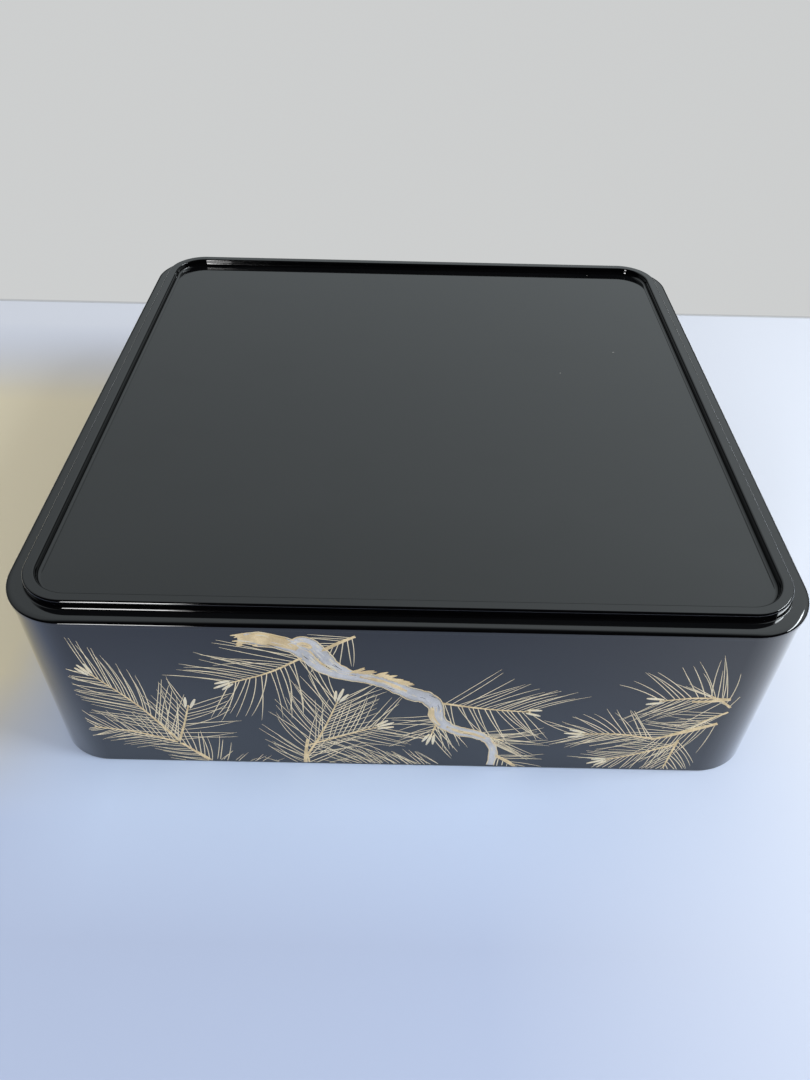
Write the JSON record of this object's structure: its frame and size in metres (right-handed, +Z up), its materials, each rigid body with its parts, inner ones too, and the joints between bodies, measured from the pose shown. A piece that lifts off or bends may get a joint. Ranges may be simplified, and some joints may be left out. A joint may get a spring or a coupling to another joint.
{
  "type": "lacquer food box",
  "caption": "Low square lacquered food box with rounded corners and a lift-off lid whose sunk top, ring and ledge let another box stand on it.",
  "frame": {"origin": "on the table, under the middle of the box", "axes": "+Z up, -Y out of the decorated front, +X to its right"},
  "size_m": [0.2008, 0.2008, 0.0612],
  "materials": {
    "black_lacquer": "polished gloss lacquer",
    "red_lacquer": "satin vermilion lacquer",
    "bare_wood": "planed, glued, never seen",
    "gilt": "satin powdered metal in lacquer",
    "silver": "satin powdered metal in lacquer"
  },
  "bodies": {
    "tier": {"front_wall": "black_lacquer", "right_wall": "black_lacquer", "back_wall": "black_lacquer", "left_wall": "black_lacquer", "front_right_corner_block": "black_lacquer", "back_right_corner_block": "black_lacquer", "back_left_corner_block": "black_lacquer", "front_left_corner_block": "black_lacquer", "bottom_board": "red_lacquer", "front_wall_tongue_a": "bare_wood", "front_wall_tongue_b": "bare_wood", "right_wall_tongue_a": "bare_wood", "right_wall_tongue_b": "bare_wood", "back_wall_tongue_a": "bare_wood", "back_wall_tongue_b": "bare_wood", "left_wall_tongue_a": "bare_wood", "left_wall_tongue_b": "bare_wood"},
    "lid": {"lid_front_rail": "black_lacquer", "lid_right_rail": "black_lacquer", "lid_back_rail": "black_lacquer", "lid_left_rail": "black_lacquer", "lid_front_right_corner": "black_lacquer", "lid_back_right_corner": "black_lacquer", "lid_back_left_corner": "black_lacquer", "lid_front_left_corner": "black_lacquer", "lid_panel": "black_lacquer"}
  },
  "joints": [
    {"name": "lid_lift", "type": "slide", "parent": "tier", "child": "lid", "axis": [0, 0, 1], "range_m": [0, 0.08]}
  ]
}
